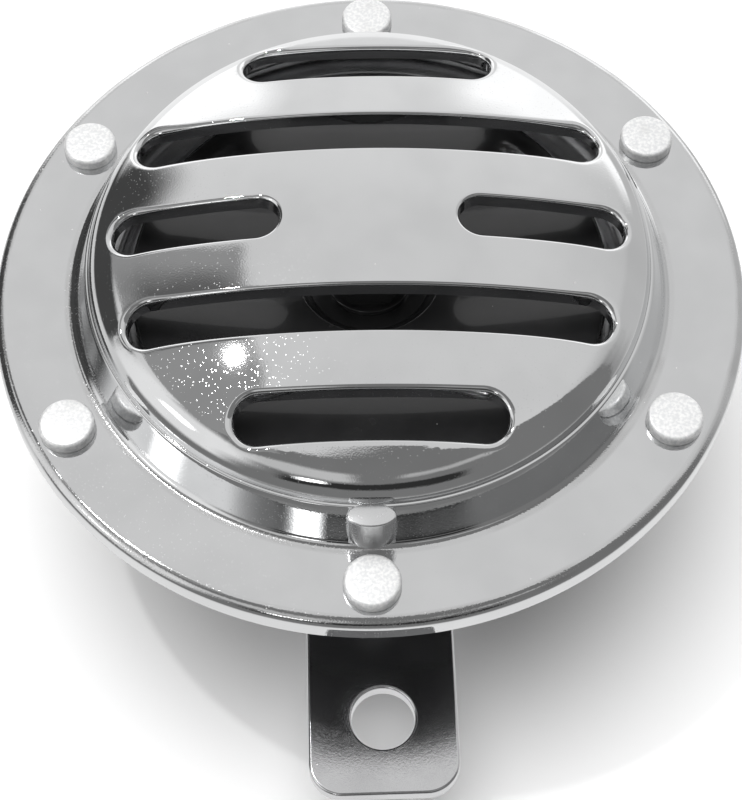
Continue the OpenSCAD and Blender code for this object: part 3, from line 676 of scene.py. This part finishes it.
enamel, here, enamel_material = finish_of("black_enamel", coat_weight=0.6, coat_roughness=0.04, ior=1.5)
peel = noise(enamel, here, 420.0)
haze = noise(enamel, here, 150.0, detail=3.0)
lint = specks(enamel, here, 380.0, often=0.22, size=0.05)
tone = blend(enamel, haze, (0.022, 0.022, 0.023), (0.045, 0.045, 0.046))
vary(
    enamel,
    base_color=blend(enamel, lint, tone, (0.30, 0.30, 0.29)),
    roughness=0.14 + haze * 0.18 + lint * 0.4,
    normal=bump(enamel, peel + lint * 0.3, 0.012),
)
dress(tone_disc, enamel_material)
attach(tone_disc, "root")
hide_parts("tone_disc")


def on_horn_box(node):
    """The corners of a node's box in millimetres from the horn's axis and face."""
    origin = (axis_x, axis_y, face_z)
    return [[(c - o) / MM for c, o in zip(corner, origin, strict=True)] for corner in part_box(node)]


def span_of(node):
    """The lowest and the highest level of a node over the horn's face, in millimetres."""
    low, high = on_horn_box(node)
    return low[2], high[2]


def soften(obj, width, segments, angle):
    """Rounds the edges that turn by more than so many degrees."""
    limit = {"limit_method": "ANGLE", "angle_limit": math.radians(angle)}
    apply_modifier(obj, "edges", "BEVEL", width=width, segments=segments, **limit)


FACE_INSET, CONE_OVER, BORE_ENTRY, CHAMFER = 0.15, 0.3, 0.45, math.radians(30)


def hex_nut(name, box, bore, middle=(0, 0)):
    """A hexagon nut that fills a node's box, with corners turned to a cone and softened edges."""
    across, low, high = box[1][1] - box[0][1], box[0][2], box[1][2]
    corner_r = across / math.sqrt(3)
    bpy.ops.object.select_all(action="DESELECT")
    bpy.ops.mesh.primitive_cylinder_add(vertices=6, radius=corner_r, depth=high - low)
    nut = bpy.context.object
    nut.name = nut.data.name = name
    flats = Matrix.Rotation(math.radians(30), 4, "Z")
    nut.data.transform(Matrix.Translation((*middle, (low + high) / 2)) @ flats)
    inner, outer, mouth = across / 2 - FACE_INSET, corner_r + CONE_OVER, bore + BORE_ENTRY
    slope = (outer - inner) * math.tan(CHAMFER)
    lower = [(bore, low + BORE_ENTRY), (mouth, low), (inner, low), (outer, low + slope)]
    upper = [(outer, high - slope), (inner, high), (mouth, high), (bore, high - BORE_ENTRY)]
    combine(nut, "INTERSECT", turned("cone", [*lower, *upper, lower[0]], steps=64, middle=middle))
    soften(nut, width=0.12, segments=2, angle=28)
    return smooth(place(nut), 40)


def thread(name, outer, pitch, low, high, middle=(0, 0)):
    """The ridge of a screw thread, sunk a little into its core and blunt at its crest."""
    sunk, blunt = 0.1, 0.06
    root, crest = outer - 0.6 * pitch - sunk, outer - blunt
    tooth = [(root, low), (crest, low + 0.44 * pitch), (crest, low + 0.56 * pitch), (root, low + pitch)]
    ridge = drawn(name, [(r, 0, z) for r, z in tooth], [(0, 1), (1, 2), (2, 3), (3, 0)])
    turns, steps = int((high - low) / pitch) - 1, 40
    apply_modifier(
        ridge, "winding", "SCREW", iterations=turns, screw_offset=pitch, steps=steps, render_steps=steps,
        use_merge_vertices=False, use_normal_calculate=True,
    )
    in_edit_mode(
        ridge,
        lambda: bpy.ops.mesh.fill_holes(sides=4),
        lambda: bpy.ops.mesh.select_all(action="SELECT"),
        lambda: bpy.ops.mesh.normals_make_consistent(inside=False),
    )
    ridge.data.transform(Matrix.Translation((*middle, 0)))
    return place(ridge)


washer_low, washer_top = span_of("tone_disc_washer")
stud_low, stud_top = span_of("armature_stud")
hub_top, nut_low = span_of("diaphragm_washer")[0], span_of("tone_disc_nut")[0]
WASHER_R, WASHER_EDGE, WASHER_FIT = 6, 0.25, 0.2
ARMATURE_T, HUB_R, SPIGOT_R = 3.0, 7.0, 4.0
STUD_ROOT, STUD_PITCH, STUD_LEAD, STUD_DOME, RIDGE_FROM, RIDGE_TO = 2.4, 1.0, 0.3, 0.4, 0.4, 0.15

disc_nut = hex_nut("sound_disc_nut", on_horn_box("tone_disc_nut"), STUD_R + FIT)
disc_washer = turned("sound_disc_washer", [
    (STUD_R + WASHER_FIT, washer_low),
    (WASHER_R, washer_low),
    *arc((WASHER_R - WASHER_EDGE, washer_top - WASHER_EDGE), WASHER_EDGE, 0, 90, 4),
    (STUD_R + WASHER_FIT, washer_top),
    (STUD_R + WASHER_FIT, washer_low),
], steps=96)
smooth(place(disc_washer), 40)
stud = turned("sound_disc_stud", [
    (0, stud_low),
    (SPIGOT_R, stud_low),
    (SPIGOT_R, stud_low + ARMATURE_T),
    (HUB_R, stud_low + ARMATURE_T),
    (HUB_R, hub_top),
    (STUD_R, hub_top),
    (STUD_R, nut_low),
    (STUD_ROOT, nut_low + STUD_LEAD),
    (STUD_ROOT, stud_top - STUD_LEAD),
    *arc((STUD_ROOT - STUD_DOME, stud_top - STUD_DOME), STUD_DOME, 0, 90, 4),
    (0, stud_top),
], steps=72)
smooth(place(stud), 40)
stud_ridge = thread("sound_disc_thread", STUD_R, STUD_PITCH, nut_low + RIDGE_FROM, stud_top - RIDGE_TO)
smooth(stud_ridge, 40)
for piece, node, slot in (
    (disc_nut, "tone_disc_nut", "black_enamel"),
    (disc_washer, "tone_disc_washer", "black_enamel"),
    (stud, "armature_stud", "zinc_steel"),
    (stud_ridge, "armature_stud", "zinc_steel"),
):
    dress(piece, enamel_material)
    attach(piece, "root")
    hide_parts(node)

# Diaphragm and gaskets
# The diaphragm is thin rolled spring steel with one ripple outside the tone disc. It is clamped at the
# rim between two dark fibre gaskets, and a turned, zinc-plated washer backs it up round the stud.


def scaled(tree, here, factors):
    """Coordinates with a factor along each axis; a pattern is drawn out where the factor is low."""
    return tree.node("ShaderNodeVectorMath", {"operation": "MULTIPLY"}, {0: here, 1: factors})


def rolled_metal(name, dark, light, low, high, streak=1.0, depth=0.004):
    """A plain metal with cloudy tone, fine grain and a roughness between low and high."""
    tree, here, material = finish_of(name, metallic=1.0)
    cloud = noise(tree, here, 170.0, detail=3.0)
    fine = noise(tree, scaled(tree, here, (1.0, streak, 1.0)), 2600.0)
    vary(
        tree,
        base_color=blend(tree, cloud.rise(0.3, 0.7), dark, light),
        roughness=low + (high - low) * fine,
        normal=bump(tree, fine + cloud * 0.5, depth),
    )
    return material


def use(material, *nodes):
    """Gives CAD nodes that stay in the scene their material."""
    for name in nodes:
        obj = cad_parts[name]
        for slot in obj.material_slots:
            slot.material = material


spring_steel = rolled_metal("spring_steel", (0.60, 0.60, 0.61), (0.74, 0.74, 0.75), 0.22, 0.40, streak=6.0)
turned_steel = rolled_metal(
    "zinc_plated_steel", (0.62, 0.63, 0.64), (0.70, 0.71, 0.72), 0.24, 0.34, depth=0.0015
)
use(spring_steel, "diaphragm")
use(turned_steel, "diaphragm_washer")

fibre, here, fibre_material = finish_of("gasket_fibre", specular=0.3)
felted = noise(fibre, here, 1800.0, detail=4.0, roughness=0.7)
tone = blend(fibre, felted, (0.035, 0.033, 0.030), (0.085, 0.080, 0.072))
vary(fibre, base_color=tone, roughness=0.75 + felted * 0.2, normal=bump(fibre, felted, 0.05))
use(fibre_material, "front_gasket", "rear_gasket")

# Rear housing
# A deep pressed steel cup in semi-gloss black stoved enamel, held to the grille's flange by the rivets.
# The enamel has a fine orange peel and some dust in it.

black, here, black_material = finish_of("stoved_enamel", coat_weight=0.25, coat_roughness=0.12, ior=1.5)
peel = noise(black, here, 950.0)
haze = noise(black, here, 120.0, detail=3.0)
nibs = specks(black, here, 300.0, often=0.18, size=0.07)
tone = blend(black, haze.rise(0.3, 0.7), (0.010, 0.010, 0.011), (0.024, 0.024, 0.025))
vary(
    black,
    base_color=blend(black, nibs * 0.5, tone, (0.12, 0.12, 0.12)),
    roughness=0.24 + haze * 0.14 + nibs * 0.2,
    normal=bump(black, peel * 0.8 + nibs * 0.5, 0.03),
)
use(black_material, "rear_housing")

# Mounting strap
# A flat steel strap from the horn's stud to a bolt hole, its corners and edges rounded before it was
# plated. Its gloss is blurred and grainy, with fine rubs along it. It is drawn about the bolt hole.

STRAP_W, STRAP_T, STRAP_EDGE, STRAP_CORNER = 20.0, 2.5, 0.42, 4.5
STRAP_END = 10.5
BOLT_R, STUD_HOLE_R = 4.25, 4.2
DRILL_OVER = 1
strap_reach = math.hypot(axis_x, axis_y) / MM
strap_turn = math.atan2(-axis_x, axis_y)


def block(name, middle, size):
    """A plain block, round its middle."""
    bpy.ops.object.select_all(action="DESELECT")
    bpy.ops.mesh.primitive_cube_add(size=1)
    obj = bpy.context.object
    obj.name = obj.data.name = name
    obj.data.transform(Matrix.Translation(middle) @ Matrix.Diagonal((*size, 1)))
    return obj


strap = block("strap", (0, strap_reach / 2, STRAP_T / 2), (STRAP_W, strap_reach + 2 * STRAP_END, STRAP_T))
in_edit_mode(
    strap,
    lambda: bpy.ops.mesh.select_mode(type="EDGE"),
    lambda: bpy.ops.mesh.select_all(action="DESELECT"),
)
for edge in strap.data.edges:
    low, high = (strap.data.vertices[i].co.z for i in edge.vertices)
    edge.select = abs(high - low) > STRAP_T / 2
bpy.ops.object.mode_set(mode="EDIT")
bpy.ops.mesh.bevel(offset=STRAP_CORNER, segments=16)
bpy.ops.mesh.select_mode(type="VERT")
bpy.ops.object.mode_set(mode="OBJECT")
for y, r in ((0, BOLT_R), (strap_reach, STUD_HOLE_R)):
    low, high = -DRILL_OVER, STRAP_T + DRILL_OVER
    drill = turned("drill", [(0, low), (r, low), (r, high), (0, high)], steps=96, middle=(0, y))
    combine(strap, "DIFFERENCE", drill)
soften(strap, width=STRAP_EDGE, segments=5, angle=50)
smooth(strap, 40)
strap.data.transform(Matrix.Rotation(strap_turn, 4, "Z") @ Matrix.Scale(MM, 4))

plated, here, plated_material = finish_of("strap_plating", metallic=1.0)
grain = noise(plated, here, 4200.0, detail=1.0)
rubs = noise(plated, scaled(plated, here, (1.0, 0.12, 1.0)), 2400.0, detail=3.0)
cloud = noise(plated, here, 110.0, detail=3.0)
scuff = specks(plated, here, 350.0, often=0.25, size=0.05)
vary(
    plated,
    base_color=blend(plated, cloud.rise(0.3, 0.7), (0.70, 0.70, 0.71), (0.80, 0.80, 0.81)),
    roughness=0.08 + grain * 0.14 + rubs * 0.05 + scuff * 0.2,
    normal=bump(plated, grain * 1.6 + rubs * 0.5 + cloud * 0.7 + scuff, 0.006),
)
dress(strap, plated_material)
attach(strap, "root")
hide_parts("mounting_strap")

# Stud, spacer, spring washer and nut
# The magnet's core ends in an M8 stud behind the housing. A spacer, the strap, a split spring washer and
# a plated hexagon nut are clamped on it.

core_low, core_top = span_of("magnet_core")
floor_out, floor_in = span_of("rear_housing")[0], span_of("magnet_yoke")[0]
POLE_R, SEAT_R, YOKE_T = 7.0, 5.0, 1.5
M8_R, M8_ROOT, M8_PITCH, M8_EDGE, M8_LEAD, M8_GAP = 4.0, 3.3, 1.25, 0.5, 0.2, 0.3

core = turned("core_and_stud", [
    (0, core_low),
    (M8_ROOT - M8_EDGE, core_low),
    (M8_ROOT, core_low + M8_EDGE),
    (M8_ROOT, floor_out - M8_LEAD),
    (M8_R, floor_out),
    (M8_R, floor_in),
    (SEAT_R, floor_in),
    (SEAT_R, floor_in + YOKE_T),
    (POLE_R, floor_in + YOKE_T),
    (POLE_R, core_top - M8_EDGE),
    (POLE_R - M8_EDGE, core_top),
    (0, core_top),
], steps=72)
smooth(place(core), 35)
stud_thread = thread("stud_thread", M8_R, M8_PITCH, core_low + M8_GAP, floor_out - M8_GAP)
smooth(stud_thread, 40)
nut = hex_nut("stud_nut", on_horn_box("mounting_nut"), M8_R + FIT)
for piece, node in ((core, "magnet_core"), (stud_thread, "magnet_core"), (nut, "mounting_nut")):
    dress(piece, turned_steel)
    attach(piece, "root")
    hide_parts(node)
use(turned_steel, "strap_spacer", "lock_washer")

# Magnet and coil
# A soft iron cup and armature plate round a coil of enamelled copper wire on a natural moulded bobbin.
# The wire lies in close level turns.

soft_iron = rolled_metal("soft_iron", (0.22, 0.22, 0.23), (0.36, 0.36, 0.37), 0.35, 0.55)
use(soft_iron, "magnet_yoke", "armature_plate")

moulding, here, moulding_material = finish_of(
    "natural_moulding", subsurface_weight=0.2, subsurface_scale=0.001, ior=1.5
)
flow = noise(moulding, here, 240.0, detail=3.0)
tone = blend(moulding, flow, (0.66, 0.61, 0.48), (0.78, 0.74, 0.62))
vary(moulding, base_color=tone, roughness=0.38 + flow * 0.15, normal=bump(moulding, flow, 0.03))
use(moulding_material, "coil_bobbin", "breaker_sleeves")

copper, here, copper_material = finish_of(
    "enamelled_wire", metallic=1.0, coat_weight=0.6, coat_roughness=0.1
)
turns = copper.node(
    "ShaderNodeTexWave",
    {"wave_type": "BANDS", "bands_direction": "Z", "wave_profile": "SIN"},
    {"Vector": here, "Scale": 320.0, "Distortion": 0.15},
)
cloud = noise(copper, here, 300.0)
tone = blend(copper, cloud, (0.42, 0.14, 0.05), (0.68, 0.28, 0.12))
vary(copper, base_color=tone, roughness=0.22 + turns * 0.12, normal=bump(copper, turns, 0.12))
use(copper_material, "coil_winding")

# Contact breaker
# Pressed phenolic strips insulate a bronze leaf with a tungsten contact and a stamped steel arm with
# the other. Two sleeved rivets hold the pack to the housing floor.

strips, here, phenolic = finish_of("phenolic_sheet", specular=0.4)
paper_grain = noise(strips, scaled(strips, here, (1.0, 0.2, 3.0)), 1500.0, detail=4.0, roughness=0.65)
tone = blend(strips, paper_grain.rise(0.3, 0.7), (0.035, 0.016, 0.009), (0.095, 0.048, 0.026))
vary(strips, base_color=tone, roughness=0.36 + paper_grain * 0.22, normal=bump(strips, paper_grain, 0.03))
use(phenolic, "breaker_base", "leaf_pusher", "breaker_spacer", "breaker_insulator")

bronze = rolled_metal("leaf_bronze", (0.52, 0.34, 0.14), (0.68, 0.48, 0.22), 0.20, 0.40, streak=0.2)
tungsten = rolled_metal("tungsten", (0.24, 0.24, 0.26), (0.46, 0.46, 0.48), 0.30, 0.60)
use(bronze, "contact_leaf")
use(tungsten, "moving_contact", "fixed_contact")
use(turned_steel, "contact_arm", "breaker_clamp", "breaker_rivets")

# Adjusting screw
# A slotted grub screw in a yellow-passivated bush behind the housing sets the contact gap. A small
# hexagon nut locks it.

lock_nut_box = on_horn_box("adjuster_lock_nut")
adjuster_at = [(lock_nut_box[0][i] + lock_nut_box[1][i]) / 2 for i in (0, 1)]
grub_low, grub_top = span_of("adjusting_screw")
GRUB_R, GRUB_ROOT, GRUB_END_R, GRUB_PITCH, GRUB_CHAMFER, GRUB_POINT = 2.5, 2.02, 1.7, 0.8, 0.3, 1
GROOVE_W, GROOVE_DEPTH = 0.8, 1.2

yellow, here, yellow_material = finish_of("yellow_passivate", metallic=1.0)
sheen = noise(yellow, here, 260.0)
grain = noise(yellow, here, 3000.0)
tone = blend(yellow, sheen.rise(0.35, 0.65), (0.66, 0.56, 0.30), (0.74, 0.60, 0.42))
tone = blend(yellow, noise(yellow, here, 140.0).rise(0.55, 0.75), tone, (0.56, 0.60, 0.40))
vary(yellow, base_color=tone, roughness=0.24 + grain * 0.16, normal=bump(yellow, grain + sheen, 0.006))

grub = turned("grub_screw", [
    (0, grub_low),
    (GRUB_END_R, grub_low),
    (GRUB_ROOT, grub_low + GRUB_CHAMFER),
    (GRUB_ROOT, grub_top - GRUB_POINT),
    (GRUB_R - GRUB_POINT, grub_top),
    (0, grub_top),
], steps=64, middle=adjuster_at)
slitter = block("slitter", (*adjuster_at, grub_low), (3 * GRUB_R, GROOVE_W, 2 * GROOVE_DEPTH))
thread_low, thread_top = grub_low + GROOVE_DEPTH + 0.1, grub_top - GRUB_POINT - 0.2
grub_ridge = thread("grub_thread", GRUB_R, GRUB_PITCH, thread_low, thread_top, adjuster_at)
combine(grub, "DIFFERENCE", slitter)
smooth(place(grub), 35)
smooth(grub_ridge, 40)
lock_nut = hex_nut("grub_lock_nut", lock_nut_box, GRUB_R + FIT, adjuster_at)
for piece, node, material, slot in (
    (grub, "adjusting_screw", turned_steel, "zinc_steel"),
    (grub_ridge, "adjusting_screw", turned_steel, "zinc_steel"),
    (lock_nut, "adjuster_lock_nut", yellow_material, "yellow_zinc"),
):
    dress(piece, material)
    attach(piece, "root")
    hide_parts(node)
use(yellow_material, "adjuster_bush")

# Terminals and leads
# Two yellow-passivated spades are riveted through phenolic plates on both sides of the housing floor.
# Inside, tinned tags carry insulated leads to the coil and the breaker.

use(phenolic, "terminal_plate", "terminal_inner_plate")
use(yellow_material, "coil_terminal", "breaker_terminal", "terminal_rivets")
use(rolled_metal("tinned_brass", (0.62, 0.62, 0.60), (0.78, 0.78, 0.76), 0.22, 0.40), "solder_tags")


def sleeve(name, dark, light):
    """Soft insulation of a lead, slightly waxy, with faint ribs from its making."""
    tree, here, material = finish_of(name, ior=1.45)
    ribs = noise(tree, here, 700.0)
    tone = blend(tree, ribs, dark, light)
    vary(tree, base_color=tone, roughness=0.30 + ribs * 0.15, normal=bump(tree, ribs, 0.03))
    return material


use(sleeve("red_insulation", (0.34, 0.03, 0.02), (0.52, 0.06, 0.04)), "coil_lead", "breaker_lead")
use(sleeve("black_insulation", (0.010, 0.010, 0.010), (0.035, 0.035, 0.035)), "feed_lead")
